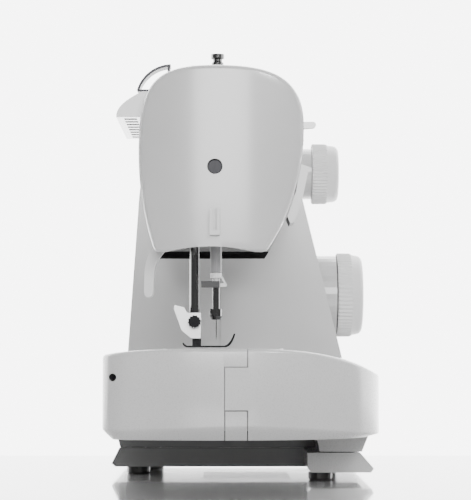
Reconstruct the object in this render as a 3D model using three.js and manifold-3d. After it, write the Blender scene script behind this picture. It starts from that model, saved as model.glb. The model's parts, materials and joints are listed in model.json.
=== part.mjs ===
// A domestic free-arm sewing machine with a vertical-axis rotary hook, in millimetres, +Z up.
// The needle end points to -X, the handwheel to +X and the user sits at -Y. The origin is the centre of
// the footprint, on the surface that the machine stands on.
import * as THREE from "three";
import { mergeVertices } from "three/addons/utils/BufferGeometryUtils.js";
import Module from "manifold-3d";

const wasm = await Module();
wasm.setup();

// ---- driving dimensions -------------------------------------------------------------------------
const WALL = 2.5; // moulded casing wall
const GAP = 0.35; // between pieces that touch
const SPLIT_Y = 16; // plane where the front and rear casings meet
const BED_Z = 97.2; // top of the needle plate and of the extension table
const TOP_Z = 291; // top of the arm
const CASE_RIGHT = 162; // right side of the casings
const PILLAR_LEFT = 20; // left side of the pillar, at the throat
const BASE_LEFT = 5; // left side of the base, where the extension table ends
const TABLE_LEFT = -185; // left end of the extension table
const BASE_Z = 21; // lower edge of the casings, at the waist
const TABLE_Z = 36; // lower edge of the extension table
const TRAY_Z = 6; // underside of the bottom casing
const HEAD_LEFT = -158; // seam between the casings and the face cover
const FACE_BULGE = 8; // the face cover's crown, to the left of that seam
const HEAD_RIGHT = -70;
const HEAD_Z = 163; // underside of the head
const ARM_Z = 212; // underside of the arm
const NEEDLE = { x: -128, y: 18 };
const PRESSER = { x: -128, y: 33 };
const SHAFT = { y: 18, z: 248, r: 4 }; // upper shaft, along X
const LOWER = { y: 22, z: 60, r: 3.5 }; // lower shaft, along X
const HOOK = { x: -128, y: 1.5, r: 15.5 }; // axis and radius of the rotary hook
const ARM_FRONT = -28; // sides of the free arm
const ARM_REAR = 54;
const ARM_LEFT = -170; // left end of the free arm
const ARM_UNDER = 42;
const DIAL_X = 80;
const PATTERN = { z: 141.5, r: 34.5, back: -79.3, front: -100 };
const LENGTH = { z: 241.6, r: 25, back: -59, front: -81 };
const HINGE = { x: -6, y: -91 }; // pivot of the swing-out compartment
const FOOT_R = 9;
const COVER_SCREW = { y: 18.6, z: 221 };
const SPOOL = { x0: -35, x1: 95, y0: 26, y1: 60 }; // trough for the thread spool
const PLATE = { x0: -163.65, x1: -94.35, y0: -23.65, y1: 49.65, seam: 4, z: 95.5 };
const PLATE_SCREWS = [-155, -101];
const FEET = { front_left: [-45, -59], rear_left: [22, 80], front_right: [145, -74], rear_right: [145, 74] };

// ---- materials ----------------------------------------------------------------------------------
const paint = (color, roughness, metalness = 0) => new THREE.MeshStandardMaterial({ color, roughness, metalness });
const WHITE = paint(0xdcdcdc, 0.35);
const TABLE_WHITE = paint(0xd8d8d8, 0.38);
const DIAL_WHITE = paint(0xd2d2d2, 0.4);
const DARK = paint(0x26272a, 0.5);
const GREY = paint(0x8a8c8e, 0.45);
const CHROME = paint(0xc8c8c8, 0.12, 1);
const STEEL = paint(0x9a9c9e, 0.3, 1);
const ALUMINIUM = paint(0xa8abad, 0.5, 1);
const RUBBER = paint(0x18181a, 0.75);
const CLEAR = paint(0xe8eef0, 0.1);

// ---- solids -------------------------------------------------------------------------------------
// A closed geometry as a manifold-3d solid.
function solid(geometry) {
  const g = geometry.clone();
  for (const name of Object.keys(g.attributes)) if (name !== "position") g.deleteAttribute(name);
  const merged = mergeVertices(g, 1e-4);
  return new wasm.Manifold(
    new wasm.Mesh({
      numProp: 3,
      vertProperties: merged.attributes.position.array,
      triVerts: new Uint32Array(merged.index.array),
    }),
  );
}

const join = (...parts) => parts.reduce((a, b) => a.add(b));
const cut = (body, ...tools) => tools.reduce((a, b) => a.subtract(b), body);

function box(x0, x1, y0, y1, z0, z1) {
  const g = new THREE.BoxGeometry(x1 - x0, y1 - y0, z1 - z0);
  return solid(g.translate((x0 + x1) / 2, (y0 + y1) / 2, (z0 + z1) / 2));
}

// A cylinder or cone along axis "x", "y" or "z" that runs from a to b, centred on (p, q) in the other two axes.
function rod(axis, a, b, p, q, r, sides = 16, rEnd = r) {
  const g = new THREE.CylinderGeometry(rEnd, r, b - a, sides);
  if (axis === "x") g.rotateZ(-Math.PI / 2).translate((a + b) / 2, p, q);
  if (axis === "y") g.translate(p, (a + b) / 2, q);
  if (axis === "z") g.rotateX(Math.PI / 2).translate(p, q, (a + b) / 2);
  return solid(g);
}

// An outline drawn in (Y, Z), extruded along X from x0 to x1.
function alongX(shape, x0, x1, curveSegments = 10) {
  const g = new THREE.ExtrudeGeometry(shape, { depth: x1 - x0, bevelEnabled: false, curveSegments });
  const m = new THREE.Matrix4().makeBasis(
    new THREE.Vector3(0, 1, 0),
    new THREE.Vector3(0, 0, 1),
    new THREE.Vector3(1, 0, 0),
  );
  return solid(g.applyMatrix4(m).translate(x0, 0, 0));
}

// An outline drawn in (X, Z), extruded along Y from y0 to y1.
function alongY(shape, y0, y1, curveSegments = 10) {
  const g = new THREE.ExtrudeGeometry(shape, { depth: y1 - y0, bevelEnabled: false, curveSegments });
  return solid(g.rotateX(Math.PI / 2).translate(0, y1, 0));
}

// An outline drawn in (X, Y), extruded along Z from z0 to z1.
function alongZ(shape, z0, z1, curveSegments = 10) {
  const g = new THREE.ExtrudeGeometry(shape, { depth: z1 - z0, bevelEnabled: false, curveSegments });
  return solid(g.translate(0, 0, z0));
}

// A profile of [radius, height] points that starts and ends on the axis, turned about an axis through (p, q).
function turned(axis, profile, p, q, sides = 24) {
  const g = new THREE.LatheGeometry(
    profile.map(([r, h]) => new THREE.Vector2(r, h)),
    sides,
  );
  if (axis === "x") g.rotateZ(-Math.PI / 2).translate(0, p, q);
  if (axis === "y") g.translate(p, 0, q);
  if (axis === "z") g.rotateX(Math.PI / 2).translate(p, q, 0);
  const s = solid(g);
  return s.volume() > 0 ? s : solid(flipped(g));
}

// The same geometry with each face turned round.
function flipped(geometry) {
  const g = geometry.clone();
  const index = g.index.array;
  for (let i = 0; i < index.length; i += 3) [index[i + 1], index[i + 2]] = [index[i + 2], index[i + 1]];
  return g;
}

function polygon(points) {
  return new THREE.Shape(points.map(([x, y]) => new THREE.Vector2(x, y)));
}

// A rounded rectangle outline.
function rounded(x0, x1, y0, y1, r) {
  const s = new THREE.Shape();
  s.moveTo(x0 + r, y0).lineTo(x1 - r, y0).absarc(x1 - r, y0 + r, r, -Math.PI / 2, 0);
  s.lineTo(x1, y1 - r).absarc(x1 - r, y1 - r, r, 0, Math.PI / 2);
  s.lineTo(x0 + r, y1).absarc(x0 + r, y1 - r, r, Math.PI / 2, Math.PI);
  s.lineTo(x0, y0 + r).absarc(x0 + r, y0 + r, r, Math.PI, 1.5 * Math.PI);
  return s;
}

const model = new THREE.Group();
const groups = {};

// Adds a node to the model, in the named assembly.
function node(name, assembly, body, material) {
  if (!groups[assembly]) {
    groups[assembly] = new THREE.Group();
    model.add(groups[assembly]);
  }
  const m = body.getMesh();
  const g = new THREE.BufferGeometry()
    .setAttribute("position", new THREE.BufferAttribute(new Float32Array(m.vertProperties), 3))
    .setIndex(new THREE.BufferAttribute(m.triVerts, 1));
  g.computeVertexNormals();
  const made = new THREE.Mesh(g, material);
  made.name = name;
  groups[assembly].add(made);
}

// ---- outlines of the casing ---------------------------------------------------------------------
// The head and arm seen from the needle end, in (Y, Z), t inside the outer surface. Its lower edge is at z0.
function archOutline(t, z0 = HEAD_Z) {
  const s = new THREE.Shape();
  s.moveTo(-17 + t, z0 + t);
  s.bezierCurveTo(-34 + t, 190, -42.4 + t, 218, -42.4 + t, 250);
  s.bezierCurveTo(-42.4 + t, 286 - t, -18, TOP_Z - t, 20, TOP_Z - t);
  s.bezierCurveTo(60, TOP_Z - t, 71 - t, 281 - t, 71 - t, 232);
  s.bezierCurveTo(71 - t, 205, 66 - t, 182, 59.5 - t, z0 + t);
  return s;
}

// The pillar seen from the needle end, in (Y, Z).
function pillarOutline(t) {
  const s = new THREE.Shape();
  s.moveTo(-80 + t, 90).lineTo(-50 + t, 212);
  s.quadraticCurveTo(-43 + t, 240, -40 + t, 262);
  s.lineTo(64 - t, 270);
  s.quadraticCurveTo(79 - t, 250, 81 - t, 205);
  s.lineTo(89 - t, 90);
  return s;
}

// The base and the extension table seen from the needle end, in (Y, Z): a crowned top that falls to the
// front, near-vertical sides, and a lower band that leans in.
function bedOutline(t, z0) {
  const s = new THREE.Shape();
  s.moveTo(-88 + t, z0 + t).lineTo(-96 + t, 37).lineTo(-97.5 + t, 79);
  s.bezierCurveTo(-78 + t, 90 - t, -50, BED_Z - t, -10, BED_Z - t);
  s.lineTo(40, BED_Z - t);
  s.quadraticCurveTo(72, BED_Z - t, 98 - t, 93 - t);
  s.lineTo(99 - t, 43).lineTo(93.5 - t, z0 + t);
  return s;
}

// The plan of the base and table, in (X, Y), from the table's curved end to x1.
function bedPlan(t, x1) {
  const s = new THREE.Shape();
  s.moveTo(x1, -98 + t).lineTo(-100, -98 + t);
  s.bezierCurveTo(-150, -98 + t, -174 + t, -72, TABLE_LEFT + 2.5 + t, -20);
  s.quadraticCurveTo(TABLE_LEFT - 2.5 + t, 15, TABLE_LEFT + 2.5 + t, 50);
  s.lineTo(-177.5 + t, 80);
  s.quadraticCurveTo(-175.5 + t, 94.5 - t, -160, 95 - t);
  s.lineTo(x1, 99 - t);
  return s;
}

// The side view of the head, arm and pillar, in (X, Z), open below the arm.
function sideOutline(t) {
  const s = new THREE.Shape();
  s.moveTo(HEAD_LEFT - 20, HEAD_Z - 1).lineTo(HEAD_RIGHT - 8 - t, HEAD_Z - 1);
  s.quadraticCurveTo(HEAD_RIGHT - t, HEAD_Z, HEAD_RIGHT + 1 - t, HEAD_Z + 8);
  s.lineTo(HEAD_RIGHT + 4 - t, ARM_Z - 8 + t);
  s.quadraticCurveTo(HEAD_RIGHT + 5 - t, ARM_Z + t, HEAD_RIGHT + 13 - t, ARM_Z + t);
  s.lineTo(PILLAR_LEFT - 12 + t, ARM_Z + t);
  s.quadraticCurveTo(PILLAR_LEFT + t, ARM_Z + t, PILLAR_LEFT + t, ARM_Z - 12 + t);
  s.lineTo(PILLAR_LEFT + t, HEAD_Z - 1).lineTo(CASE_RIGHT - t, HEAD_Z - 1);
  s.lineTo(CASE_RIGHT - t, 300).lineTo(HEAD_LEFT - 20, 300);
  return s;
}

// Everything inside a surface t under the casings' outer one.
function casingBody(t) {
  const open = t > 0 ? 20 : 0; // the inner form runs out past the open ends
  const arm = alongX(archOutline(t, HEAD_Z - open), HEAD_LEFT - open, CASE_RIGHT - t, 20).intersect(
    alongY(sideOutlineOpen(t), -120, 120, 6),
  );
  const pillar = alongX(pillarOutline(t), PILLAR_LEFT + t, CASE_RIGHT - t, 12);
  const base = alongX(bedOutline(t, BASE_Z - open), BASE_LEFT + 0.6 + t, CASE_RIGHT - t, 14);
  return join(arm, pillar, base);
}

function sideOutlineOpen(t) {
  if (t === 0) return sideOutline(0);
  const s = sideOutline(t);
  const points = s.getPoints(6).map((p) => (p.y < HEAD_Z && p.x < HEAD_RIGHT ? [p.x, HEAD_Z - 30] : [p.x, p.y]));
  return polygon(points);
}


// A shape round two circles, like a belt or a lever.
function link(ax, ay, ra, bx, by, rb) {
  const toB = Math.atan2(by - ay, bx - ax);
  const open = Math.acos((ra - rb) / Math.hypot(bx - ax, by - ay));
  const s = new THREE.Shape();
  s.absarc(ax, ay, ra, toB + open, toB - open + 2 * Math.PI);
  s.absarc(bx, by, rb, toB - open, toB + open);
  return s;
}

function ring(axis, a, b, p, q, rIn, rOut, sides = 16) {
  return rod(axis, a, b, p, q, rOut, sides).subtract(rod(axis, a - 1, b + 1, p, q, rIn, sides));
}

// A spur gear outline with square-cut teeth, centred on (x, y).
function gearShape(x, y, rRoot, rTip, teeth) {
  const points = [];
  for (let i = 0; i < teeth; i++) {
    for (const [r, share] of [
      [rRoot, 0],
      [rRoot, 0.4],
      [rTip, 0.5],
      [rTip, 0.9],
    ]) {
      const a = ((i + share) / teeth) * 2 * Math.PI;
      points.push([x + r * Math.cos(a), y + r * Math.sin(a)]);
    }
  }
  return polygon(points);
}

// ---- casings ------------------------------------------------------------------------------------
function casings() {
  let shell = casingBody(0).subtract(casingBody(WALL));
  const window = box(BASE_LEFT - 1, BASE_LEFT + 6, -24, 50, 45, 91);
  const shaftHole = rod("x", CASE_RIGHT - 8, CASE_RIGHT + 2, SHAFT.y, SHAFT.z, 8);
  const takeUpSlot = box(-144, -136, -60, -25, 228, 274);
  const tensionSlot = box(-113, -103, -60, -30, 236, 254);
  const lifterNotch = box(-137, -92, 50, 80, HEAD_Z - 5, 184);
  const patternHole = rod("y", -90, -50, DIAL_X, PATTERN.z, 6);
  const lengthHole = rod("y", -70, -30, DIAL_X, LENGTH.z, 6);
  const reverseSlot = box(128.5, 139.5, -90, -55, 112, 136);
  const inletHole = rod("x", CASE_RIGHT - 8, CASE_RIGHT + 2, 44, 52, 1, 4).add(
    box(CASE_RIGHT - 8, CASE_RIGHT + 2, 27, 61, 39, 65),
  );
  const switchHole = box(CASE_RIGHT - 8, CASE_RIGHT + 2, -21, 5, 37, 67);
  const winderSlot = alongZ(link(121, -5, 5, 127, -5, 5), 270, 300, 6);
  const trough = alongZ(rounded(SPOOL.x0, SPOOL.x1, SPOOL.y0, SPOOL.y1, 8), 270, 300, 4);
  shell = cut(shell, window, shaftHole, takeUpSlot, tensionSlot, lifterNotch, patternHole, lengthHole);
  shell = cut(shell, reverseSlot, inletHole, switchHole, winderSlot, trough);

  const ridge = polygon([[-40, 224], [-46, 222], [-41, 198], [-36, 184], [-33, 183], [-31, 188], [-37, 205]]);
  const bracket = box(-101, -98, -44, -29, 238, 252).intersect(casingBody(0));
  const tensionPin = rod("x", -116, -99, -35.2, 245, 2, 12);
  const reverseBracket = cut(
    join(box(124, 127, -70, -50, 121, 135), box(141, 144, -70, -50, 121, 135)).intersect(casingBody(1)),
    rod("x", 120, 150, -55, 128, 1.9, 12),
  );
  const plate = box(-152, -112, 18, 35, 287.5, 292.7); // under the bobbin-winding guide
  const all = join(shell, alongX(ridge, -156, -122), bracket, tensionPin, reverseBracket, plate);
  const half = GAP / 2;
  node("front_casing", "casings", all.trimByPlane([0, -1, 0], -(SPLIT_Y - half)), WHITE);
  node("rear_casing", "casings", all.trimByPlane([0, 1, 0], SPLIT_Y + half), WHITE);
}

// The cover on the needle end of the head, bulged to the left about an upright axis.
function faceCover() {
  const bulge = 200;
  const left = HEAD_LEFT - FACE_BULGE - 2; // the crown of the cover
  const form = (t) => {
    const bent = rod("z", 100, 320, left + t + bulge, 14, bulge, 180);
    const section = archOutline(t, t ? HEAD_Z - 10 : HEAD_Z);
    return alongX(section, left - 5, t ? HEAD_LEFT + 5 : HEAD_LEFT - GAP, 12).intersect(bent);
  };
  const arch = new THREE.Shape();
  arch.moveTo(-13, HEAD_Z - 1).quadraticCurveTo(22, HEAD_Z + 8, 56, HEAD_Z - 1);
  let cover = cut(form(0), form(2.2), alongX(arch, left - 5, HEAD_LEFT + 2));
  cover = cover.add(rod("x", left + 1, HEAD_LEFT - 1, COVER_SCREW.y, COVER_SCREW.z, 7.5));
  cover = cut(
    cover,
    rod("x", left - 4, left + 5.5, COVER_SCREW.y, COVER_SCREW.z, 5.3),
    rod("x", left - 4, HEAD_LEFT + 2, COVER_SCREW.y, COVER_SCREW.z, 2.3, 12),
    box(left - 2, left + 6, COVER_SCREW.y - 2.2, COVER_SCREW.y + 2.2, 178.5, 185.5),
  );
  node("face_cover", "casings", cover, WHITE);

  const head = rod("x", left + 3, left + 5.1, COVER_SCREW.y, COVER_SCREW.z, 4.6);
  const slot = box(left + 2, left + 3.9, COVER_SCREW.y - 0.6, COVER_SCREW.y + 0.6, 210, 230);
  const screw = cut(head, slot).add(rod("x", left + 4, HEAD_LEFT + 8, COVER_SCREW.y, COVER_SCREW.z, 1.9, 12));
  node("face_cover_screw", "casings", screw, STEEL);

  const cheek = box(left - 4.5, left - 0.4, COVER_SCREW.y - 3.5, COVER_SCREW.y + 3.5, 174, 192);
  const groove = box(left - 6, left - 1.6, COVER_SCREW.y - 1.4, COVER_SCREW.y + 1.4, 177, 200);
  const peg = box(left - 2, left + 4, COVER_SCREW.y - 1.8, COVER_SCREW.y + 1.8, 179, 185);
  node("thread_cutter", "casings", cut(cheek, groove).add(peg), DIAL_WHITE);
}

// The ledge at the back of the arm that the machine is carried by.
function carryingHandle() {
  const s = new THREE.Shape();
  s.moveTo(55, 257).lineTo(87, 257).quadraticCurveTo(88, 266, 69, 275).lineTo(55, 275);
  let grip = alongX(s, -150, -30, 8).subtract(casingBody(-GAP));
  const ribs = [];
  for (let i = 0; i < 8; i++) ribs.push(box(-144 + 14 * i, -136 + 14 * i, 73, 82, 255, 260));
  grip = cut(grip, ...ribs);
  node("carrying_handle", "casings", grip, WHITE);
}

// ---- underside ----------------------------------------------------------------------------------
function bottomCasing() {
  const section = polygon([[-88, 20.65], [-98, 9], [-96, TRAY_Z], [97, TRAY_Z], [100, 8.5], [94, 20.65]]);
  const well = polygon([[-85, 21], [-92, 9], [94, 9], [91, 21]]);
  let tray = alongX(section, BASE_LEFT, CASE_RIGHT - 1).subtract(alongX(well, BASE_LEFT + 3, CASE_RIGHT - 4));
  const arm = polygon([[-88, 20.5], [-98, 9], [-96, TRAY_Z], [-52, TRAY_Z], [-49, 9], [-49, 20.5]]);
  const armWell = box(-54, 2, -90, -53, TRAY_Z - 1, 17.5);
  tray = tray.add(alongX(arm, -58, BASE_LEFT + 1).subtract(armWell));
  for (let i = 0; i < 5; i++) tray = tray.subtract(box(46 + 14 * i, 53 + 14 * i, -40, 30, 0, 12));
  for (const [x, y] of Object.values(FEET)) {
    tray = tray.add(rod("z", TRAY_Z, 17, x, y, 7.5, 16)).subtract(rod("z", 0, 13, x, y, 4.35, 16));
  }
  node("bottom_casing", "underside", tray, DARK);
  for (const [name, [x, y]] of Object.entries(FEET)) {
    const profile = [[0, 0], [FOOT_R - 1, 0], [FOOT_R, 1], [FOOT_R, 5.65], [4, 5.65], [4, 12], [0, 12]];
    node(`foot_${name}`, "underside", turned("z", profile, x, y, 20), RUBBER);
  }
}

// ---- bed ----------------------------------------------------------------------------------------
function freeArm() {
  const plan = (t) => {
    const [x0, y0, y1, r] = [ARM_LEFT + t, ARM_FRONT + t, ARM_REAR - t, 14 - t];
    const s = new THREE.Shape();
    s.moveTo(BASE_LEFT + t * 4, y0).lineTo(BASE_LEFT + t * 4, y1).lineTo(x0 + r, y1);
    s.absarc(x0 + r, y1 - r, r, Math.PI / 2, Math.PI);
    s.lineTo(x0, y0 + r).absarc(x0 + r, y0 + r, r, Math.PI, 1.5 * Math.PI);
    return s;
  };
  const top = BED_Z - 4; // underside of the arm's thick top
  let arm = alongZ(plan(0), ARM_UNDER, BED_Z, 6).subtract(alongZ(plan(WALL), ARM_UNDER + WALL, top, 6));
  arm = cut(
    arm,
    box(PLATE.x0 - GAP, PLATE.x1 + GAP, PLATE.y0 - GAP, PLATE.y1 + GAP, PLATE.z - GAP, BED_Z + 1),
    box(PLATE.x0 + 3, PLATE.x1 - 3, PLATE.y0 + 3, PLATE.y1 - 3, top - 1, BED_Z + 1),
  );
  node("free_arm_casing", "bed", arm, TABLE_WHITE);

  let plate = box(PLATE.x0, PLATE.x1, PLATE.seam + GAP, PLATE.y1, PLATE.z, BED_Z);
  plate = cut(
    plate,
    alongZ(rounded(-133, -123, NEEDLE.y - 1.4, NEEDLE.y + 1.4, 1.3), 90, 100, 3),
    box(-140.3, -135.7, 8.5, 39.5, 90, 100),
    box(-120.3, -115.7, 8.5, 39.5, 90, 100),
  );
  for (const x of PLATE_SCREWS) {
    const head = rod("z", 90, 100, x, 44, 2.6).subtract(rod("z", 90, BED_Z - 0.5, x, 44, 4));
    plate = plate.subtract(head.subtract(box(x - 3, x + 3, 43.6, 44.4, 90, 100)));
  }
  node("needle_plate", "bed", plate, STEEL);

  const cover = box(PLATE.x0, PLATE.x1, PLATE.y0, PLATE.seam, PLATE.z, BED_Z);
  node("bobbin_cover", "bed", cover.subtract(rod("z", BED_Z - 0.7, 100, -104, -10, 6)), CLEAR);
}

// The extension table round the free arm, split into its body, a swing-out box at the front and a latch.
function extensionTable() {
  const right = BASE_LEFT;
  const form = (t) =>
    alongX(bedOutline(t, t ? TABLE_Z - 20 : TABLE_Z), TABLE_LEFT - 5, right + 10, 8).intersect(
      alongZ(bedPlan(t, right), 0, 120, 10),
    );
  const armHole = box(ARM_LEFT - 0.7, right + 10, ARM_FRONT - 0.7, ARM_REAR + 0.7, 0, 120);
  const table = form(0).subtract(form(WALL).subtract(box(-300, 300, -300, 300, 0, 0.1)));
  const seam = GAP / 2;

  const left = box(-190, ARM_LEFT - 1, -110, -3.5 - seam, 0, 120);
  const tab = box(-190, ARM_LEFT - 1, -110, 11.8 - seam, 56.3, 85 - seam);
  const front = box(-190, 2, -110, ARM_FRONT - 0.7, 0, 120);
  const boxRegion = join(left, tab, front);
  const boxGap = join(
    box(-190, ARM_LEFT + 5, -110, -3.5 + seam, 0, 120),
    box(-190, ARM_LEFT + 5, -110, 11.8 + seam, 0, 85 + seam),
    box(-190, right + 10, -110, ARM_FRONT - 0.35, 0, 120),
  );

  const rearWall = box(ARM_LEFT - 1, right, ARM_REAR + 0.7, ARM_REAR + 2.7, TABLE_Z + 6, BED_Z - 1);
  const endWall = box(ARM_LEFT - 2.7, ARM_LEFT - 0.7, 12, ARM_REAR + 2.7, TABLE_Z + 6, BED_Z - 1);
  const inside = form(0.5);
  const strap = box(-24, right, -93, 97, TABLE_Z, 38.6).intersect(form(0));
  const pin = rod("z", 37, 74, HINGE.x, HINGE.y, 2.5, 12);
  const body = cut(table, boxGap, armHole).add(join(rearWall, endWall).intersect(inside));
  const screwHole = rod("x", -185, -168, 87, 78, 2.6);
  node("extension_table", "table", join(body, strap, pin).subtract(screwHole), TABLE_WHITE);

  const floor = box(-180, 2, -94, ARM_FRONT - 0.7, 39, 41).intersect(form(0.5));
  const boss = rod("z", 39.5, 76, HINGE.x, HINGE.y, 5, 16);
  const skirt = new THREE.Shape(); // the lowest part of the box, over the outrigger
  skirt.moveTo(-89.5, 21.2).lineTo(-95.5, 36.2).lineTo(-95.5, 42).lineTo(-43, 42).lineTo(-43, 37);
  skirt.quadraticCurveTo(-57.5, 36.5, -58, 24).lineTo(-58, 21.2);
  const low = alongX(skirt, -57.5, 2, 6);
  const compartment = cut(
    join(table.intersect(boxRegion).subtract(armHole), floor, boss.intersect(form(0.5)), low),
    box(-26.4, 10, -110, 0, 35.6, 39),
    box(-55, -30, -89, -60, 23.5, 43), // the deep end of the box
    rod("z", 30, 74.5, HINGE.x, HINGE.y, 2.9, 12),
  );
  node("accessory_compartment", "table", compartment, TABLE_WHITE);

  const button = form(0).intersect(box(-190, ARM_LEFT - 3.5, -3.1, 11.4, TABLE_Z, 55.6));
  node("compartment_latch", "table", button, TABLE_WHITE);
}

// ---- frame and drive ----------------------------------------------------------------------------
const WEB = { y0: 42, y1: 47 }; // the frame's upright web
const MOTOR = { y: -10, z: 135, r: 22 };
const BELT_X = [127.5, 138.5];
const TIMING_X = [118, 126];
const TIMING_R = 14;
const LIFTER_Z = 187;
const TAKE_UP = { y: 0, z: 222 };

function mainFrame() {
  const [x0, x1, inner] = [-150, 112, 62];
  const web = polygon([
    [x0, 48], [x1, 48], [x1, 262], [-98, 262], [-98, 284], [-104, 284],
    [-104, 192], [-136, 192], [-136, 174], [-90, 174], [-90, 222], [inner, 222], [inner, 76], [x0, 76],
  ]);
  let frame = alongY(web, WEB.y0, WEB.y1);
  const blocks = [
    box(-98, -86, 8, WEB.y1, 238, 258),
    box(98, 112, 8, WEB.y1, 238, 258),
    box(-98, -86, 14, WEB.y1, 52, 68),
    box(98, 112, 14, WEB.y1, 52, 68),
    box(-136, -98, 27, WEB.y1, 262, 284), // upper presser-bar guide
    box(-136, -98, 28, WEB.y1, 174, 182), // lower presser-bar guide
    box(-150, -142, -4, WEB.y1, 62, 71),
    box(-150, -123, -4.5, 7.5, 67.5, 71), // hook bearing
    box(-98, -92, -6, 12, 215, 242), // take-up lever lug
    box(60, 90, 8, WEB.y1, 120, 150), // motor saddle
  ];
  frame = join(frame, ...blocks);
  frame = cut(
    frame,
    rod("x", -100, 113, SHAFT.y, SHAFT.z, SHAFT.r + GAP),
    rod("x", -110, -101.5, SHAFT.y, SHAFT.z, 19.6, 24),
    rod("x", -100, 113, LOWER.y, LOWER.z, LOWER.r + GAP),
    rod("z", 170, 290, PRESSER.x, PRESSER.y, 3.85),
    rod("z", 60, 80, HOOK.x, HOOK.y, 3.35),
    rod("x", 50, 100, MOTOR.y, MOTOR.z, MOTOR.r + GAP, 32),
  );
  frame = join(
    frame,
    rod("y", 12, 28, NEEDLE.x, 276, 2, 12),
    rod("y", WEB.y0, 57, PRESSER.x, LIFTER_Z, 2.5, 12),
    rod("x", -143, -95, TAKE_UP.y, TAKE_UP.z, 2.5, 12),
  );
  node("main_frame", "drive", frame, ALUMINIUM);
}

function upperShaft() {
  const pin = rod("x", -113.6, -106, SHAFT.y, SHAFT.z + 15, 2.5, 16);
  const shaft = rod("x", -106, 178, SHAFT.y, SHAFT.z, SHAFT.r);
  const crank = rod("x", -108, -103.5, SHAFT.y, SHAFT.z, 19, 24);
  node("upper_shaft", "drive", join(shaft, crank, pin), STEEL);

  const pulley = alongX(gearShape(SHAFT.y, SHAFT.z, TIMING_R - 1, TIMING_R, 14), TIMING_X[0], BELT_X[0]);

  const [b0, b1] = BELT_X;
  const wheel = join(
    pulley,
    rod("x", b0, b1, SHAFT.y, SHAFT.z, 30, 24),
    rod("x", b0 - 1.5, b0, SHAFT.y, SHAFT.z, 32, 24),
    rod("x", b1, b1 + 1.5, SHAFT.y, SHAFT.z, 32, 24),
  );
  node("drive_wheel", "drive", wheel.subtract(rod("x", 110, 150, SHAFT.y, SHAFT.z, SHAFT.r + GAP)), DARK);

  const profile = [[0, 164], [33, 164], [36, 168], [36, 179], [33, 184], [26, 185], [24, 181], [0, 181]];
  let hand = turned("x", profile, SHAFT.y, SHAFT.z, 32).subtract(rod("x", 160, 179, SHAFT.y, SHAFT.z, SHAFT.r + GAP));
  hand = hand.subtract(rod("x", 179, 190, SHAFT.y + 14, SHAFT.z + 14, 5, 16));
  node("handwheel", "drive", hand, WHITE);
}

function lowerShaft() {
  const shaft = rod("x", -142, 130, LOWER.y, LOWER.z, LOWER.r);
  const pulley = alongX(gearShape(LOWER.y, LOWER.z, TIMING_R - 1, TIMING_R, 14), ...TIMING_X);
  const gear = alongX(gearShape(LOWER.y, LOWER.z, 10.2, 12, 18), -134, -122);
  node("lower_shaft", "drive", join(shaft, pulley, gear), STEEL);
}

// A belt round two pulleys whose shafts run along X.
function belt(a, ra, b, rb, thick) {
  const outer = link(a.y, a.z, ra + GAP + thick, b.y, b.z, rb + GAP + thick);
  outer.holes.push(new THREE.Path(link(a.y, a.z, ra + GAP, b.y, b.z, rb + GAP).getPoints(12)));
  return outer;
}

function motorDrive() {
  const body = rod("x", 42, 108, MOTOR.y, MOTOR.z, MOTOR.r, 32);
  const boss = rod("x", 107, 113, MOTOR.y, MOTOR.z, 9).subtract(rod("x", 108.5, 115, MOTOR.y, MOTOR.z, 3.4));
  const bore = rod("x", 100, 115, MOTOR.y, MOTOR.z, 3.4);
  node("motor", "drive", body.add(boss).subtract(bore), DARK);
  const [b0, b1] = BELT_X;
  const pulley = join(
    rod("x", 102, 142, MOTOR.y, MOTOR.z, 3),
    rod("x", b0, b1, MOTOR.y, MOTOR.z, 7),
    rod("x", b0 - 1.5, b0, MOTOR.y, MOTOR.z, 9),
    rod("x", b1, b1 + 1.5, MOTOR.y, MOTOR.z, 9),
  );
  node("motor_pulley", "drive", pulley, STEEL);
  const v = belt(MOTOR, 7, SHAFT, 30, 1.6);
  node("motor_belt", "drive", alongX(v, b0 + 1.5, b1 - 1.5, 12), RUBBER);
  const timing = belt(LOWER, TIMING_R, SHAFT, TIMING_R, 1.4);
  node("timing_belt", "drive", alongX(timing, TIMING_X[0] + 0.5, TIMING_X[1] - 0.5, 12), RUBBER);
}

// ---- hook ---------------------------------------------------------------------------------------
function hook() {
  const cup = turned("z", [[0, 52], [3, 52], [3, 74], [15.5, 74], [15.5, 89.2], [13.6, 89.2], [13.6, 76.5], [0, 76.5]],
    HOOK.x, HOOK.y);
  const notch = box(HOOK.x - 6, HOOK.x + 6, HOOK.y + 8, HOOK.y + 20, 80, 85);
  const gear = alongZ(gearShape(HOOK.x, HOOK.y, 6.4, 8, 9), 54, 66);
  node("rotary_hook", "hook", cup.subtract(notch).add(gear), STEEL);
  const holder = turned("z", [[0, 77.2], [13.1, 77.2], [13.1, 89.6], [11.4, 89.6], [11.4, 79], [2, 79], [2, 86], [0, 86]],
    HOOK.x, HOOK.y);
  node("bobbin_case", "hook", holder, DARK);
  const bobbin = join(
    rod("z", 79.6, 80.6, HOOK.x, HOOK.y, 10.4),
    rod("z", 80.6, 88, HOOK.x, HOOK.y, 4.2),
    rod("z", 88, 89, HOOK.x, HOOK.y, 10.4),
  ).subtract(rod("z", 79, 90, HOOK.x, HOOK.y, 2.4));
  node("bobbin", "hook", bobbin, CLEAR);

  const dog = join(box(-140, -84, 24, 36, 86, 90), box(-139.5, -136.5, 24, 36, 88, 92.5), box(-119.5, -116.5, 24, 36, 88, 92.5));
  const teeth = [];
  for (let i = 0; i < 8; i++) {
    const y = 11 + 3.25 * i;
    teeth.push([y, 97], [y + 2.2, 95.9]);
  }
  const rail = polygon([[11, 92.3], [37, 92.3], [37, 96.2], ...teeth.reverse()]);
  node("feed_dog", "hook", join(dog, alongX(rail, -139.5, -136.5), alongX(rail, -119.5, -116.5)), STEEL);
}

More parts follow.
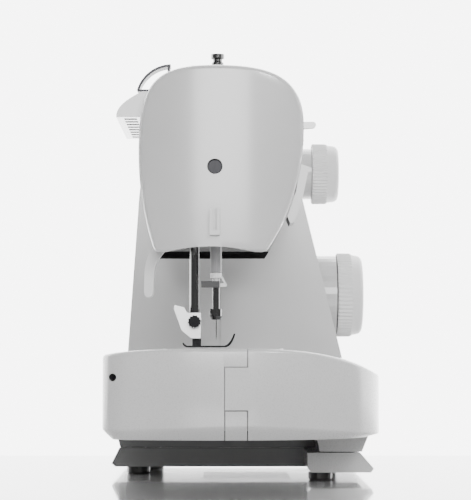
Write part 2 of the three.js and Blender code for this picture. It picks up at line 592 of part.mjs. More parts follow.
// ---- needle -------------------------------------------------------------------------------------
function needleBar() {
  const [x, y] = [NEEDLE.x, NEEDLE.y];
  const bar = rod("z", 119, 262, x, y, 2.85);
  node("needle_bar", "needle", bar.subtract(rod("z", 118, 132, x, y, 1.1, 12)), CHROME);

  // The collar clamps on the bar; its rod runs up to the crank pin.
  const pinHoleZ = SHAFT.z + 15;
  const arm = link(y, 229, 5.5, y, pinHoleZ, 5);
  const rodEnd = alongX(arm, -118.4, -114.2, 8).subtract(rod("x", -120, -110, y, pinHoleZ, 2.85, 16));
  const collar = box(x - 6, -116, y - 5.2, y + 5.2, 224, 234).subtract(rod("z", 220, 240, x, y, 3.2));
  node("connecting_rod", "needle", join(rodEnd.subtract(box(-140, -116, 10, 30, 0, 234.5)), collar, rodEnd), STEEL);

  const strip = box(-132, -124, 24.5, 26.5, 172, 282);
  const eyes = [box(-144, -122, 12.5, 26.5, 172, 180), box(-134, -122, 12.5, 26.5, 250, 256)];
  const lug = alongY(link(x, 276, 5, x, 262, 4), 14, 26.5, 8).subtract(box(-140, -110, 10, 24.5, 250, 270.4));
  const frame = cut(
    join(strip, ...eyes, lug),
    rod("z", 165, 270, x, y, 3.2),
    rod("y", 10, 30, x, 276, 2.35, 16),
    rod("z", 165, 185, -139, y, 4.35),
  );
  node("needle_bar_frame", "needle", frame, ALUMINIUM);

  let clamp = turned("z", [[0, 117.5], [3.2, 117.5], [4.5, 120], [4.5, 125], [0, 125]], x, y, 16);
  clamp = join(clamp, box(x + 2, x + 8.5, y - 3, y + 3, 119.5, 124.5), alongX(gearShape(y, 122, 3.6, 4, 8), x + 8.4, x + 13));
  clamp = cut(clamp, rod("z", 119 - GAP, 126, x, y, 2.85 + GAP), rod("z", 110, 126, x, y, 1.35, 12));
  node("needle_clamp", "needle", clamp, CHROME);

  let needle = turned("z", [[0, 103], [0.45, 106], [0.5, 117], [1, 118.5], [1, 130], [0, 130]], x, y, 12);
  needle = needle.subtract(box(x - 2, x + 2, y - 0.35, y + 0.35, 107, 108.6).intersect(
    rod("y", y - 2, y + 2, x, 107.8, 0.3, 8)));
  node("needle", "needle", needle, CHROME);
}

function threader() {
  const [x, y] = [-139, NEEDLE.y];
  node("threader_sleeve", "needle", ring("z", 150, 186, x, y, 2.15, 4), GREY);
  const v = polygon([[15.1, 140], [15.1, 142.4], [12.4, 142.6], [14.8, 146.6], [13.4, 147.2], [10.4, 141.6], [10.9, 140.2]]);
  const collar = rod("z", 146, 149.5, x, y, 4.1);
  const rodBody = join(rod("z", 141.9, 206, x, y, 1.8), collar, alongX(v, x - 2, x + 2));
  node("threader_rod", "needle", rodBody, WHITE);
  const block = box(x - 3, x + 3, 15.5, 28.2, 139.6, 144).subtract(rod("z", 141.5, 145, x, y, 1.8 + GAP));
  node("threader_arm", "needle", block, DARK);
}

// ---- presser ------------------------------------------------------------------------------------
function helix(x, y, z0, z1, r, wire, turns) {
  class Coil extends THREE.Curve {
    getPoint(t, out = new THREE.Vector3()) {
      const a = 2 * Math.PI * turns * t;
      return out.set(x + r * Math.cos(a), y + r * Math.sin(a), z0 + (z1 - z0) * t);
    }
  }
  const section = polygon([0, 1, 2, 3, 4, 5].map((i) => [wire * Math.cos((i * Math.PI) / 3), wire * Math.sin((i * Math.PI) / 3)]));
  return solid(new THREE.ExtrudeGeometry(section, { steps: turns * 10, extrudePath: new Coil() }));
}

function presser() {
  const [x, y] = [PRESSER.x, PRESSER.y];
  const bar = rod("z", 113, 277, x, y, 3.5).add(box(x - 6, x + 6, y - 5, y + 7, 196, 204));
  node("presser_bar", "presser", bar, CHROME);
  node("presser_spring", "presser", helix(x, y, 206, 259, 5.2, 0.7, 6), STEEL);

  const side = polygon([
    [28.8, 104.6], [28.6, 112], [28.6, 122.2], [38, 122.2], [40.4, 126], [47, 127.6], [47.4, 125], [42, 110], [35.5, 104.6],
  ]);
  const ankle = cut(
    alongX(side, x - 5.2, x + 5.2),
    rod("z", 112.5, 130, x, y, 3.85),
    rod("x", x - 6, x - 2, y, 116, 2.1, 12),
  );
  const cheeks = box(x - 1.6, x + 1.6, 29.5, 34.5, 100.6, 105);
  node("presser_ankle", "presser", ankle.add(cheeks).subtract(rod("x", x - 9, x + 9, 31.5, 102.6, 1.25, 12)), STEEL);
  const head = alongX(gearShape(y, 116, 4, 4.5, 12), x - 12, x - 5.6);
  node("presser_screw", "presser", head.add(rod("x", x - 8, x - 3.9, y, 116, 1.75, 12)), STEEL);

  const sole = new THREE.Shape();
  sole.moveTo(11, 98.1).lineTo(38, 98.1).quadraticCurveTo(40.6, 98.6, 41.4, 101).lineTo(40.5, 101.4);
  sole.quadraticCurveTo(39.6, 99.5, 37.5, 99.3).lineTo(12, 99.3).quadraticCurveTo(8, 100.8, 5.6, 107.8);
  sole.lineTo(4.6, 107.4).quadraticCurveTo(6.6, 99.2, 11, 98.1);
  let foot = alongX(sole, x - 9.5, x + 9.5, 5);
  foot = join(foot, box(x - 6.2, x - 2.1, 28.5, 34.5, 99, 104.2), box(x + 2.1, x + 6.2, 28.5, 34.5, 99, 104.2));
  foot = cut(
    foot,
    box(x - 1.8, x + 1.8, 0, 15, 90, 110),
    box(x - 5.4, x + 5.4, NEEDLE.y - 2.2, NEEDLE.y + 2.2, 90, 110),
    rod("x", x - 4, x + 4, 31.5, 102.6, 1, 12),
  );
  foot = foot.add(rod("x", x - 4, x + 4, 31.5, 102.6, 0.9, 12));
  node("presser_foot", "presser", foot, STEEL);

  const shape = new THREE.Shape();
  shape.moveTo(48.6, LIFTER_Z).lineTo(48.6, 172).lineTo(56, 163).quadraticCurveTo(61, 157, 61.4, 147);
  shape.lineTo(61.8, 137).quadraticCurveTo(62, 133, 65, 133).quadraticCurveTo(68, 133, 68.2, 137);
  shape.lineTo(68, 149).quadraticCurveTo(67.5, 160, 63, 166).lineTo(55.4, 175).lineTo(55.4, LIFTER_Z);
  const lever = alongX(shape, x - 6, x + 6).add(rod("y", 48.6, 55.4, x, LIFTER_Z, 7));
  node("presser_lifter", "presser", lever.subtract(rod("y", 40, 60, x, LIFTER_Z, 2.85, 16)), WHITE);
}

// ---- thread path --------------------------------------------------------------------------------
function threadPath() {
  const lever = link(TAKE_UP.y, TAKE_UP.z, 6, -42, 252, 2.6);
  const tip = alongX(link(-42, 252.4, 2.4, -49.4, 252.8, 2.2), -142.4, -137.6, 8);
  let takeUp = alongX(lever, -141.2, -138.8, 8).add(tip);
  takeUp = takeUp.subtract(rod("x", -150, -130, TAKE_UP.y, TAKE_UP.z, 2.85, 16));
  node("take_up_lever", "thread", takeUp, CHROME);

  const wheel = alongX(gearShape(-35.2, 245, 8.7, 9.3, 18), -111.5, -104.5);
  node("tension_dial", "thread", wheel.subtract(rod("x", -115, -100, -35.2, 245, 2.35, 16)), DIAL_WHITE);

  const [cy, cz, r] = [48.7, 269.4, 25.3];
  const strip = new THREE.Shape();
  strip.absarc(cy, cz, r, THREE.MathUtils.degToRad(16), THREE.MathUtils.degToRad(88));
  strip.absarc(cy, cz, r - 1.7, THREE.MathUtils.degToRad(88), THREE.MathUtils.degToRad(16), true);
  const legs = [box(-146, -134, 50, 51.7, 280, 294), box(-146, -134, 60, 72.5, 275.4, 277)];
  const guide = join(alongX(strip, -146, -134, 12), ...legs).subtract(casingBody(-GAP));
  node("upper_thread_guide", "thread", largest(guide), CHROME);

  const stud = turned("z", [[0, 291.35], [4.2, 291.35], [4.2, 298.2], [3.2, 299], [3.2, 300.6], [4.7, 301.4],
    [4.7, 304.2], [0, 304.2]], -130, 17, 24);
  node("winding_stud", "thread", stud.subtract(box(-140, -120, SPLIT_Y + 1.4, 30, 290, 293.1)), CHROME);

  const spindle = [[0, 281], [3, 281], [3, 292], [8, 292], [8, 293.2], [3, 293.2], [3, 299], [2.2, 300], [0, 300]];
  node("winder_spindle", "thread", turned("z", spindle, 121, -5, 20), STEEL);

  const outerBox = (g) => alongZ(rounded(SPOOL.x0 + g, SPOOL.x1 - g, SPOOL.y0 + g, SPOOL.y1 - g, 8 - g), 264 + g, 300, 4);
  const tray = outerBox(GAP).subtract(outerBox(2.3)).intersect(casingBody(0));
  node("spool_tray", "thread", tray.subtract(rod("x", 80, 100, 43, 279, 3.3, 16)), GREY);
  node("spool_pin", "thread", rod("x", -18, 94, 43, 279, 2.9).subtract(rod("x", 93, 96, 43, 279, 1)), DIAL_WHITE);
  node("spool_cap", "thread", turned("x", [[0, -14], [11.5, -14], [11.5, -12], [6, -8], [0, -8]], 43, 279).subtract(
    rod("x", -20, 0, 43, 279, 3.25)), WHITE);
}

// The piece with the most volume, without crumbs that a cut has left.
function largest(body) {
  return body.decompose().reduce((a, b) => (a.volume() > b.volume() ? a : b));
}

// ---- controls -----------------------------------------------------------------------------------
function controls() {
  const clear = casingBody(-GAP);
  const p = PATTERN;
  const pattern = [[0, p.front], [28.5, p.front], [32.4, p.front + 3.5], [33.4, p.back - 12], [p.r, p.back - 11],
    [p.r, p.back], [4, p.back], [4, -50], [0, -50]];
  node("pattern_dial", "controls", turned("y", pattern, DIAL_X, p.z, 40), DIAL_WHITE);
  const l = LENGTH;
  const length = [[0, l.front], [19.5, l.front], [23.2, l.front + 3.5], [24, l.back - 13], [l.r, l.back - 12],
    [l.r, l.back], [4, l.back], [4, -34], [0, -34]];
  node("stitch_length_dial", "controls", turned("y", length, DIAL_X, l.z, 36), DIAL_WHITE);

  const collar = rod("y", p.back + GAP + 0.6, -50, DIAL_X, p.z, 32.5, 40);
  node("pattern_dial_collar", "controls", largest(cut(collar, rod("y", -90, -40, DIAL_X, p.z, 5), clear)), GREY);
  const collar2 = rod("y", l.back + GAP, -30, DIAL_X, l.z, 21, 40);
  node("stitch_length_collar", "controls", largest(cut(collar2, rod("y", -90, -20, DIAL_X, l.z, 5), clear)), GREY);

  const paddle = alongZ(rounded(119, 149, -88, -76, 4), 120.5, 130, 4);
  const shank = join(box(131, 137, -78, -55, 121, 129), rod("x", 131, 137, -55, 128, 5, 16));
  const pivot = rod("x", 121, 147, -55, 128, 1.55, 12);
  node("reverse_lever", "controls", join(paddle, shank, pivot), DIAL_WHITE);

  const inlet = cut(
    box(140, CASE_RIGHT + 0.8, 27.4, 60.6, 39.4, 64.6),
    box(146, CASE_RIGHT + 2, 32, 56, 43, 61),
  );
  const pins = [37, 44, 51].map((y) => rod("x", 142, 158, y, 52, 1.6, 8));
  node("power_inlet", "controls", join(inlet, ...pins), DARK);
  const switchBox = cut(
    box(144, CASE_RIGHT + 0.8, -20.6, 4.6, 37.4, 66.6),
    box(148, CASE_RIGHT + 2, -17, 1, 41, 63),
  ).add(rod("y", -18, 2, 157, 52, 1.5, 12));
  node("switch_housing", "controls", switchBox, DARK);
  const rocker = alongY(polygon([[151, 60.5], [152, 43.5], [161.5, 43.7], [162, 52], [165, 60.3]]), -16.6, 0.6);
  node("power_switch", "controls", rocker.subtract(rod("y", -18, 2, 157, 52, 1.9, 12)), DARK);
}

casings();
faceCover();
carryingHandle();
bottomCasing();
freeArm();
extensionTable();
mainFrame();
upperShaft();
lowerShaft();
motorDrive();
hook();
needleBar();
threader();
presser();
threadPath();
controls();

export default model;
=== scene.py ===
import json
import math

import bmesh
import bpy
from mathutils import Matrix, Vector

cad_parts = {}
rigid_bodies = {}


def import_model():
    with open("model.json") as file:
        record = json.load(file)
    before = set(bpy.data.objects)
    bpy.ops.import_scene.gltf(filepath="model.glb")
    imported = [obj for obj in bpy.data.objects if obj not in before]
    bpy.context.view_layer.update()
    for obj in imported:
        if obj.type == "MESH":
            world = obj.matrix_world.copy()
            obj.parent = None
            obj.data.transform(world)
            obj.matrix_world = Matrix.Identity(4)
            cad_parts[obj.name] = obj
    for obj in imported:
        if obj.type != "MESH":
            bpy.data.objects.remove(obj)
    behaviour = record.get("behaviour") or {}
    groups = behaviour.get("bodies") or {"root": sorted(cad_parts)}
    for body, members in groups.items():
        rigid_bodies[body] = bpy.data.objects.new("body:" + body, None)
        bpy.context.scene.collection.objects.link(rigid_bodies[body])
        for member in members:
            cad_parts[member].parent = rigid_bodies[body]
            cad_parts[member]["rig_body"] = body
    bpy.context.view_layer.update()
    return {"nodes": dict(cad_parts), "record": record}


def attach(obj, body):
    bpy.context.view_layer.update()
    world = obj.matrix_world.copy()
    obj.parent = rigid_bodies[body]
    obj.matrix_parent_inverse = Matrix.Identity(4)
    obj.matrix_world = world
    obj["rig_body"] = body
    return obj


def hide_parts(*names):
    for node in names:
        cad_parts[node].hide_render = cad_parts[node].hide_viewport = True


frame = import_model()
nodes = frame["nodes"]

MM = 0.001
TAU = 2 * math.pi


# ---- finishes -----------------------------------------------------------------------------------
def finish(name, color, rough, metal=0.0, vary=0.04, bump=0.02, scale=40.0, alpha=1.0, coat=0.0):
    """A surface whose colour and roughness drift a little from place to place, with a faint texture."""
    m = bpy.data.materials.new(name)
    m.use_nodes = True
    t = m.node_tree
    b = t.nodes["Principled BSDF"]
    b.inputs["Metallic"].default_value = metal
    b.inputs["Coat Weight"].default_value = coat
    b.inputs["Coat Roughness"].default_value = 0.15
    where = t.nodes.new("ShaderNodeTexCoord")
    cloud = t.nodes.new("ShaderNodeTexNoise")
    cloud.inputs["Scale"].default_value = 9.0
    cloud.inputs["Detail"].default_value = 3.0
    t.links.new(where.outputs["Object"], cloud.inputs["Vector"])
    mix = t.nodes.new("ShaderNodeValToRGB")
    lo = [max(c * (1 - vary), 0) for c in color]
    hi = [min(c * (1 + vary), 1) for c in color]
    mix.color_ramp.elements[0].position = 0.35
    mix.color_ramp.elements[0].color = (*lo, 1)
    mix.color_ramp.elements[1].position = 0.65
    mix.color_ramp.elements[1].color = (*hi, 1)
    t.links.new(cloud.outputs["Fac"], mix.inputs["Fac"])
    t.links.new(mix.outputs["Color"], b.inputs["Base Color"])
    grain = t.nodes.new("ShaderNodeTexNoise")
    grain.inputs["Scale"].default_value = scale * 25
    grain.inputs["Detail"].default_value = 2.0
    t.links.new(where.outputs["Object"], grain.inputs["Vector"])
    span = t.nodes.new("ShaderNodeMapRange")
    span.inputs["To Min"].default_value = max(rough - 0.05, 0.02)
    span.inputs["To Max"].default_value = rough + 0.05
    t.links.new(grain.outputs["Fac"], span.inputs["Value"])
    t.links.new(span.outputs["Result"], b.inputs["Roughness"])
    bumps = t.nodes.new("ShaderNodeBump")
    bumps.inputs["Strength"].default_value = bump
    bumps.inputs["Distance"].default_value = 0.0004
    t.links.new(grain.outputs["Fac"], bumps.inputs["Height"])
    t.links.new(bumps.outputs["Normal"], b.inputs["Normal"])
    if alpha < 1:
        b.inputs["Alpha"].default_value = alpha
    return m


MATERIALS = {
    "casing_white": finish("casing_white", (0.50, 0.50, 0.50), 0.24, coat=0.7),
    "table_white": finish("table_white", (0.52, 0.52, 0.52), 0.28, coat=0.5),
    "dial_white": finish("dial_white", (0.66, 0.66, 0.66), 0.42),
    "grey_plastic": finish("grey_plastic", (0.22, 0.22, 0.225), 0.45),
    "dark_plastic": finish("dark_plastic", (0.012, 0.012, 0.013), 0.42, bump=0.05),
    "clear_plastic": finish("clear_plastic", (0.5, 0.52, 0.53), 0.15, alpha=0.65),
    "chrome": finish("chrome", (0.16, 0.16, 0.16), 0.12, metal=1.0, vary=0.02, bump=0.0),
    "dark_steel": finish("dark_steel", (0.015, 0.015, 0.016), 0.22, metal=1.0, vary=0.05, bump=0.0),
    "steel": finish("steel", (0.62, 0.62, 0.62), 0.3, metal=1.0, vary=0.06, bump=0.03),
    "aluminium": finish("aluminium", (0.38, 0.38, 0.39), 0.5, metal=1.0, vary=0.08, bump=0.08),
    "rubber": finish("rubber", (0.01, 0.01, 0.01), 0.35, bump=0.1),
}
# Painted shade: a near-black colour for the inside of the head, which lies in shade.
INSIDE_PAINTED_SHADE = finish("inside_shadow", (0.010, 0.010, 0.010), 0.6)
# Painted shadow: a dark colour for the light plastic wall of the base where the table shades it.
PAINTED_BASE_SHADE = finish("base_side_painted_shade", (0.10, 0.10, 0.10), 0.3)
SLOT = {s["node"]: s["material_slot"] for s in frame["record"]["subparts"]}


def dress(o, slot, smooth=35):
    """Gives a piece its finish, with smooth shading up to an edge angle in degrees."""
    o.data.materials.clear()
    o.data.materials.append(MATERIALS[slot])
    for p in o.data.polygons:
        p.use_smooth = True
    sharp = math.radians(smooth)
    bm = bmesh.new()
    bm.from_mesh(o.data)
    for e in bm.edges:
        e.smooth = len(e.link_faces) != 2 or e.calc_face_angle(0) < sharp
    bm.to_mesh(o.data)
    bm.free()


def shade(o, material, chosen):
    """Gives a second material, used here for painted shade, to the faces picked by their centre, in
    millimetres, and their normal.
    """
    o.data.materials.append(material)
    for p in o.data.polygons:
        if chosen(p.center / MM, p.normal):
            p.material_index = len(o.data.materials) - 1


# ---- shapes -------------------------------------------------------------------------------------
def bezier(p, steps=24):
    """Points along a cubic or quadratic curve, without the first."""
    made = []
    for i in range(1, steps + 1):
        t = i / steps
        q = [Vector(v) for v in p]
        while len(q) > 1:
            q = [a.lerp(b, t) for a, b in zip(q, q[1:])]
        made.append(tuple(q[0]))
    return made


def resample(points, count, closed=False):
    """Evenly spaced points along a polyline."""
    pts = [Vector(p) for p in points]
    if closed:
        pts.append(pts[0])
    run = [0.0]
    for a, b in zip(pts, pts[1:]):
        run.append(run[-1] + (b - a).length)
    made, k = [], 0
    for i in range(count):
        at = run[-1] * i / (count if closed else count - 1)
        while k < len(run) - 2 and run[k + 1] < at:
            k += 1
        made.append(pts[k].lerp(pts[k + 1], (at - run[k]) / max(run[k + 1] - run[k], 1e-9)))
    return made


def inset(points, d, closed=True):
    """A plane outline moved by d to its left, which is inwards when it runs anticlockwise."""
    made, n = [], len(points)
    for i, p in enumerate(points):
        a = points[i - 1] if closed or i else points[i]
        b = points[(i + 1) % n] if closed or i < n - 1 else points[i]
        t = (b - a).normalized()
        made.append(p + Vector((-t.y, t.x)) * d)
    return made


def rings(name, loops, closed=True, cap=None):
    """A skin through loops of equal length, in millimetres. cap closes the last loop at that point."""
    n = len(loops[0])
    verts = [tuple(c * MM for c in v) for loop in loops for v in loop]
    faces = []
    for k in range(len(loops) - 1):
        for i in range(n if closed else n - 1):
            j = (i + 1) % n
            faces.append((k * n + i, k * n + j, (k + 1) * n + j, (k + 1) * n + i))
    if cap is not None:
        verts.append(tuple(c * MM for c in cap))
        base = (len(loops) - 1) * n
        faces += [(base + i, base + (i + 1) % n, len(verts) - 1) for i in range(n)]
    mesh = bpy.data.meshes.new(name)
    mesh.from_pydata(verts, [], faces)
    o = bpy.data.objects.new(name, mesh)
    bpy.context.scene.collection.objects.link(o)
    bm = bmesh.new()
    bm.from_mesh(mesh)
    bmesh.ops.recalc_face_normals(bm, faces=bm.faces)
    bm.to_mesh(mesh)
    bm.free()
    return o


def block(x0, x1, y0, y1, z0, z1):
    """A box in millimetres, for cutting."""
    return close(rings("block", [
        [(x0, y0, z), (x1, y0, z), (x1, y1, z), (x0, y1, z)] for z in (z0, z1)
    ]))


def drum(axis, a, b, p, q, r, sides=48, r2=None):
    """A closed cylinder or cone from a to b along an axis, in millimetres."""

    def ring(at, rad):
        pts = []
        for i in range(sides):
            c, s = rad * math.cos(TAU * i / sides), rad * math.sin(TAU * i / sides)
            pts.append({"x": (at, p + c, q + s), "y": (p + c, at, q + s), "z": (p + c, q + s, at)}[axis])
        return pts

    return close(rings("drum", [ring(a, r), ring(b, r if r2 is None else r2)]))


def settle(o):
    """Turns a piece's modifiers into its mesh."""
    dg = bpy.context.evaluated_depsgraph_get()
    mesh = bpy.data.meshes.new_from_object(o.evaluated_get(dg))
    o.modifiers.clear()
    o.data = mesh
    return o


def close(o):
    """Fills a solid's open ends and turns its faces outwards."""
    bm = bmesh.new()
    bm.from_mesh(o.data)
    bmesh.ops.holes_fill(bm, edges=bm.edges, sides=0)
    bmesh.ops.recalc_face_normals(bm, faces=bm.faces)
    if bm.calc_volume(signed=True) < 0:
        bmesh.ops.reverse_faces(bm, faces=bm.faces)
    bm.to_mesh(o.data)
    bm.free()
    return o


def thicken(o, t, inside):
    """Gives a skin a wall of t on the side where the point inside lies."""
    middle = Vector(inside) * MM
    facing = sum(p.normal.dot(p.center - middle) * p.area for p in o.data.polygons)
    if facing < 0:
        o.data.flip_normals()
    m = o.modifiers.new("thick", "SOLIDIFY")
    m.thickness = t * MM
    m.offset = -1
    m.use_even_offset = True
    return close(settle(o))


def trim(o, op, *tools):
    """Cuts a piece with other solids, which are used up."""
    for tool in tools:
        m = o.modifiers.new("cut", "BOOLEAN")
        m.operation = op
        m.solver = "MANIFOLD"
        m.object = tool
        settle(o)
        bpy.data.objects.remove(tool)
    return o


def stands_for(o, *names, smooth=35):
    """Lets a finer piece take the place of CAD nodes, on the body of the first."""
    o.name = o.data.name = names[0] + "_skin"
    dress(o, SLOT[names[0]], smooth)
    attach(o, nodes[names[0]]["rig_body"])
    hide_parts(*names)
    return o


# ---- face cover ---------------------------------------------------------------------------------
HEAD_LEFT, HEAD_Z, TOP_Z = -158.35, 163.0, 291.0


def arch_outline(t=0.0):
    """The head seen from the needle end, as (Y, Z), anticlockwise from the lower front corner."""
    p = [(-17 + t, HEAD_Z + t)]
    corner = [(59.5 - t - 3, HEAD_Z + t), (59.5 - t, HEAD_Z + t), (60.4 - t, HEAD_Z + 3 + t)]
    p += [corner[0]] + bezier(corner, 6)
    p += bezier([(60.4 - t, HEAD_Z + 3 + t), (66 - t, 182), (71 - t, 205), (71 - t, 232)], 40)
    p += bezier([(71 - t, 232), (71 - t, 281 - t), (60, TOP_Z - t), (20, TOP_Z - t)], 48)
    p += bezier([(20, TOP_Z - t), (-18, TOP_Z - t), (-42.4 + t, 286 - t), (-42.4 + t, 250)], 48)
    p += bezier([(-42.4 + t, 250), (-42.4 + t, 218), (-34 + t, 190), (-18.4 + t, HEAD_Z + 3 + t)], 40)
    p += bezier([(-18.4 + t, HEAD_Z + 3 + t), (-17 + t, HEAD_Z + t), (-13 + t, HEAD_Z + t)], 6)[:-1]
    return p[1:]


def face_cover():
    rim = resample(arch_outline(), 160, closed=True)
    radius, centre_y, apex = 200.0, 14.0, -168.0
    face_x = lambda y: apex + radius - math.sqrt(radius**2 - (y - centre_y) ** 2)
    middle = Vector((14.3, 228.0))
    loops = [[(HEAD_LEFT, p.x, p.y) for p in rim]]
    fillet = 3.2
    for k in range(9):
        a = math.pi / 2 * k / 8
        ring = inset(rim, fillet * (1 - math.cos(a)))
        sink = fillet * (1 - math.sin(a))
        loops.append([(min(face_x(p.x) + sink, HEAD_LEFT - 0.2), p.x, p.y) for p in ring])
    inner = inset(rim, fillet)
    for k in range(1, 16):
        ring = [p.lerp(middle, k / 16) for p in inner]
        loops.append([(face_x(p.x), p.x, p.y) for p in ring])
    o = rings("face", loops, cap=(face_x(middle.x), *middle))
    thicken(o, 2.1, (-100, 14, 228))
    trim(o, "DIFFERENCE", drum("x", -180, -159, 18.6, 221, 5.3), block(-171, -160, 16.2, 21.0, 178.2, 186.0))
    trim(o, "DIFFERENCE", drum("x", -180, -150, 21.5, 32, 134.5, 480))
    stands_for(o, "face_cover", smooth=50)
    well = drum("x", -167.2, -160.5, 18.6, 221, 7.4)
    trim(well, "DIFFERENCE", drum("x", -180, -162.5, 18.6, 221, 5.3), drum("x", -180, -150, 18.6, 221, 2.3))
    trim(well, "DIFFERENCE", drum("x", -190, -165.8, 18.6, 221, 20))
    well.name = well.data.name = "cover_screw_well_painted_shade"
    # Painted shade: the screw recess is lined in dark plastic to stand in for the shade inside it.
    dress(well, "dark_plastic")
    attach(well, nodes["face_cover"]["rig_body"])


# ---- extension table ----------------------------------------------------------------------------
TABLE = {"left": -185.0, "right": 5.0, "floor": 36.0}
ARM_HOLE = (-170.7, -28.7, 54.7)


def crown(y):
    """Height of the table's top at y."""
    side = [(-97.5, 79.0)] + bezier([(-97.5, 79), (-78, 90), (-50, 97.2), (-10, 97.2)], 24)
    side += [(40, 97.2)] + bezier([(40, 97.2), (72, 97.2), (98, 93)], 12)
    for (y0, z0), (y1, z1) in zip(side, side[1:]):
        if y <= y1:
            return z0 + (z1 - z0) * (y - y0) / (y1 - y0)
    return side[-1][1]


def table_plan():
    """The table's edge in plan, from the front right round the needle end to the rear right."""
    p = [(TABLE["right"], -97.5), (-100, -97.5)]
    p += bezier([(-100, -97.5), (-150, -97.5), (-174, -72), (-182.5, -20)], 40)
    p += bezier([(-182.5, -20), (-187.5, 15), (-182.5, 50)], 40)
    p += [(-178.8, 76)] + bezier([(-178.8, 76), (-176, 93.4), (-160, 94.8)], 16)
    p += [(TABLE["right"], 98.6)]
    return resample(p, 220)


def table_skin():
    edge = table_plan()
    edge = [Vector((p.x, p.y)) for p in edge]
    side = lambda d: inset(edge, -d, closed=False)
    crease = lambda y: 37.5 + 8.5 * (1 - (y / 99.0) ** 2) if y < 0 else 46.0 - 3.0 * (y / 99.0)
    loops = []
    bottom = side(7.0)
    loops.append([(p.x, p.y, TABLE["floor"] + 0.05) for p in bottom])
    for share in (0.35, 0.7, 0.92):
        ring = side(7.0 * (1 - share) ** 1.2)
        rise = lambda y: TABLE["floor"] + (crease(y) - TABLE["floor"]) * share
        loops.append([(p.x, p.y, rise(e.y)) for p, e in zip(ring, edge)])
    loops.append([(p.x, p.y, crease(p.y) + 0.6) for p in edge])
    round_r = 2.6
    top = lambda y: crown(max(min(y, 97.4), -96.0))
    loops.append([(p.x, p.y, 0.5 * (crease(p.y) + top(p.y))) for p in edge])
    for k in range(7):
        a = math.pi / 2 * k / 6
        ring = side(round_r * (1 - math.cos(a)))
        loops.append([(p.x, p.y, top(e.y) - round_r * (1 - math.sin(a)) - 0.1) for p, e in zip(ring, edge)])
    outer = side(round_r)
    x0, y0, y1 = ARM_HOLE
    hole = [Vector((max(p.x, x0), max(min(p.y, y1), y0))) for p in edge]
    for k in range(1, 9):
        ring = [p.lerp(q, k / 8) for p, q in zip(outer, hole)]
        loops.append([(p.x, p.y, crown(p.y) - 0.1) for p in ring])
    loops.append([(p.x, p.y, crown(p.y) - 5) for p in hole])
    o = rings("table", loops, closed=False)
    return thicken(o, 2.2, (-80, 10, 50))


def table_floor():
    """The compartment's floor in plan, just inside its wall."""
    inner = inset([Vector((p.x, p.y)) for p in table_plan()], -7.5, closed=False)
    edge = [(p.x, p.y) for p in inner if p.y < -31 and p.x < 1]
    return [(1.8, -29.2), (1.8, edge[0][1])] + edge + [(edge[-1][0], -29.2)]


def extension_table():
    seam = 0.25
    whole = table_skin()

    def piece():
        o = bpy.data.objects.new("piece", whole.data.copy())
        bpy.context.scene.collection.objects.link(o)
        return o

    x0, y0, _ = ARM_HOLE
    front = piece()
    region = block(-190, 2, -120, y0 + 0.1, 30, 120)
    trim(region, "UNION", block(-190, x0 + 0.1, -121, -3.5 - seam, 29, 121))
    trim(region, "UNION", block(-191, x0 + 0.2, -119, 11.8 - seam, 56.3, 85 - seam))
    trim(front, "INTERSECT", region)
    low = [(-89.3, 21.3), (-95.2, 36.0), (-95.2, 41.0), (-43.5, 41.0)]
    low += bezier([(-43.5, 41), (-44.5, 36.6), (-57.8, 36.6), (-57.9, 21.3)], 14)
    skirt = close(rings("skirt", [[(x, y, z) for y, z in low] for x in (-57.4, 1.9)]))
    trim(skirt, "DIFFERENCE", block(-55, -30, -89, -60, 23.5, 45), block(-26.4, 10, -110, 0, 35.6, 45))
    trim(front, "DIFFERENCE", block(-57.3, 1.8, -90, -45, 30, 40.9))
    trim(front, "UNION", skirt)
    tray = close(rings("tray", [[(x, y, z) for x, y in table_floor()] for z in (39.1, 40.9)]))
    trim(tray, "DIFFERENCE", block(-54.8, -30.2, -88.8, -60.2, 30, 50))
    trim(front, "UNION", tray)
    stands_for(front, "accessory_compartment", smooth=40)

    latch = piece()
    trim(latch, "INTERSECT", block(-190, -173, -3.1, 11.4, 30, 55.6))
    stands_for(latch, "compartment_latch", smooth=40)

    body = piece()
    gap = block(-190, 8, -120, y0 + 0.2, 20, 130)
    trim(gap, "UNION", block(-191, x0 + 5, -121, -3.5 + seam, 19, 131))
    trim(gap, "UNION", block(-192, x0 + 5.2, -119, 11.8 + seam, 18, 85 + seam))
    trim(body, "DIFFERENCE", gap, drum("x", -186, -168, 87, 78, 2.6, 24))
    trim(body, "UNION", block(-24, 4.9, -92, 92, 36.3, 38.4))
    trim(body, "UNION", block(-172.6, 4.8, 55.0, 57.2, 42, 95))
    trim(body, "UNION", drum("z", 37.5, 73.5, -6, -91, 2.4, 24))
    stands_for(body, "extension_table", smooth=40)
    bpy.data.objects.remove(whole)


# ---- knobs --------------------------------------------------------------------------------------
def ribbed_knob(node, x, z, back, front, r_skirt, r_face, ribs, shaft_end):
    """A control knob: a ribbed skirt at the back and a smooth cap that tapers to the face."""
    depth = back - front
    sides = ribs * 8
    rows = [
        (4.0, shaft_end, 0), (4.0, back, 0), (r_skirt - 0.9, back, 0), (r_skirt - 0.2, back - 0.6, 0.6),
        (r_skirt, back - 1.2, 1), (r_skirt - 0.1, back - 0.50 * depth, 1),
        (r_skirt - 0.5, back - 0.56 * depth, 0.3), (r_skirt - 1.3, back - 0.60 * depth, 0),
        (r_face + 4.0, front + 4.4, 0), (r_face + 3.4, front + 2.4, 0), (r_face + 2.2, front + 1.0, 0),
        (r_face + 0.4, front + 0.15, 0), (r_face - 1.5, front + 0.1, 0), (r_face - 2.2, front + 0.9, 0),
        (r_face * 0.4, front + 1.1, 0),
    ]
    loops = []
    for r, y, rib in rows:
        ring = []
        for i in range(sides):
            a = TAU * i / sides
            dip = 0.45 * rib * (1 + math.cos(a * ribs))
            ring.append((x + (r - dip) * math.cos(a), y, z + (r - dip) * math.sin(a)))
        loops.append(ring)
    o = close(rings("knob", loops, cap=(x, front + 1.1, z)))
    stands_for(o, node, smooth=38)


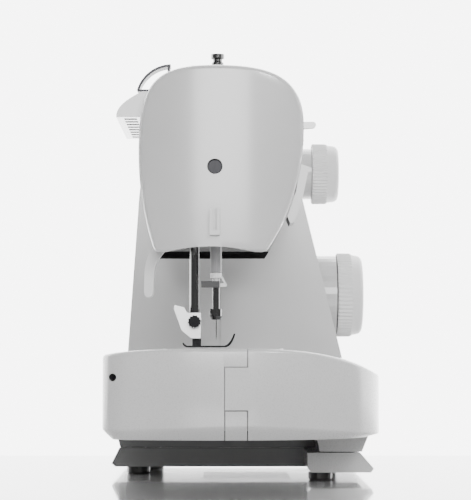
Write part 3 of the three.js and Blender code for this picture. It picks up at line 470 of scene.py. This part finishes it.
face_cover()
extension_table()
ribbed_knob("pattern_dial", 80, 141.5, -79.3, -99.9, 34.4, 28.4, 64, -50.5)
ribbed_knob("stitch_length_dial", 80, 241.6, -59.0, -80.9, 24.9, 19.2, 56, -34.5)

for name, o in nodes.items():
    dress(o, SLOT[name])
# Painted shade: the inside of the head, which shows from below, and the base's wall under the table are
# given darker colours to stand in for the shade that falls there.
HEAD_MIDDLE = (16, 225)
for name in ("front_casing", "rear_casing"):
    in_head_shade_mask = lambda c, n: n.dot(c - Vector((c.x, *HEAD_MIDDLE))) < 0 and c.x < -72 and c.z > 150
    shade(nodes[name], INSIDE_PAINTED_SHADE, in_head_shade_mask)
    shade(nodes[name], PAINTED_BASE_SHADE, lambda c, n: n.x < -0.7 and c.x < 8 and c.z < 60)
shade(nodes["bottom_casing"], PAINTED_BASE_SHADE, lambda c, n: n.x < -0.7 and c.x > 0)

# ---- stage --------------------------------------------------------------------------------------
FLOOR_EDGE = 232  # the floor ends a little behind the machine, against the bright back
floor = block(-3000, FLOOR_EDGE, -2500, 2500, -20, 0)
floor.name = floor.data.name = "studio_floor"
floor.data.materials.append(finish("floor_gloss", (0.42, 0.42, 0.42), 0.03, vary=0.01, bump=0.0, coat=0.5))

BACK_GLOW = 7.0
back = block(900, 910, -4000, 4000, -1500, 4000)
back.name = back.data.name = "studio_back"
glow = bpy.data.materials.new("back_glow")
glow.use_nodes = True
tree = glow.node_tree
tree.nodes.clear()
emit = tree.nodes.new("ShaderNodeEmission")
emit.inputs["Strength"].default_value = BACK_GLOW
out = tree.nodes.new("ShaderNodeOutputMaterial")
tree.links.new(emit.outputs["Emission"], out.inputs["Surface"])
back.data.materials.append(glow)

world = bpy.data.worlds.new("studio")
bpy.context.scene.world = world
world.use_nodes = True
world.node_tree.nodes["Background"].inputs["Color"].default_value = (0.9, 0.9, 0.9, 1)
world.node_tree.nodes["Background"].inputs["Strength"].default_value = 0.3


def lamp(name, place, target, size, power):
    """A soft rectangular light of so many watts, turned towards a target."""
    data = bpy.data.lights.new(name, "AREA")
    data.shape = "RECTANGLE"
    data.size, data.size_y = size
    data.energy = power
    o = bpy.data.objects.new(name, data)
    bpy.context.scene.collection.objects.link(o)
    o.location = Vector(place)
    o.rotation_euler = (Vector(target) - Vector(place)).to_track_quat("-Z", "Y").to_euler()
    return o


lamp("front_softbox", (-2.4, 0.02, 0.76), (-0.16, 0.01, 0.22), (1.0, 0.85), 36)
lamp("key_softbox", (-2.3, -0.87, 1.2), (-0.1, 0, 0.2), (0.35, 0.7), 26)
lamp("right_softbox", (-0.7, -1.7, 0.9), (0, 0, 0.15), (0.7, 0.9), 5)
lamp("top_softbox", (-0.4, -0.2, 1.6), (0, 0, 0.1), (1.2, 1.2), 5)

camera = bpy.data.cameras.new("camera")
camera.lens = 120
camera.sensor_width = 36
camera.clip_start, camera.clip_end = 0.05, 50
eye = bpy.data.objects.new("camera", camera)
bpy.context.scene.collection.objects.link(eye)
eye.location = (-1.295, 0.0085, 0.097)
pitch, yaw = math.radians(3.4), math.radians(0.2)
aim = Vector((math.cos(pitch) * math.cos(yaw), -math.sin(yaw), math.sin(pitch)))
eye.rotation_euler = aim.to_track_quat("-Z", "Y").to_euler()
bpy.context.scene.camera = eye
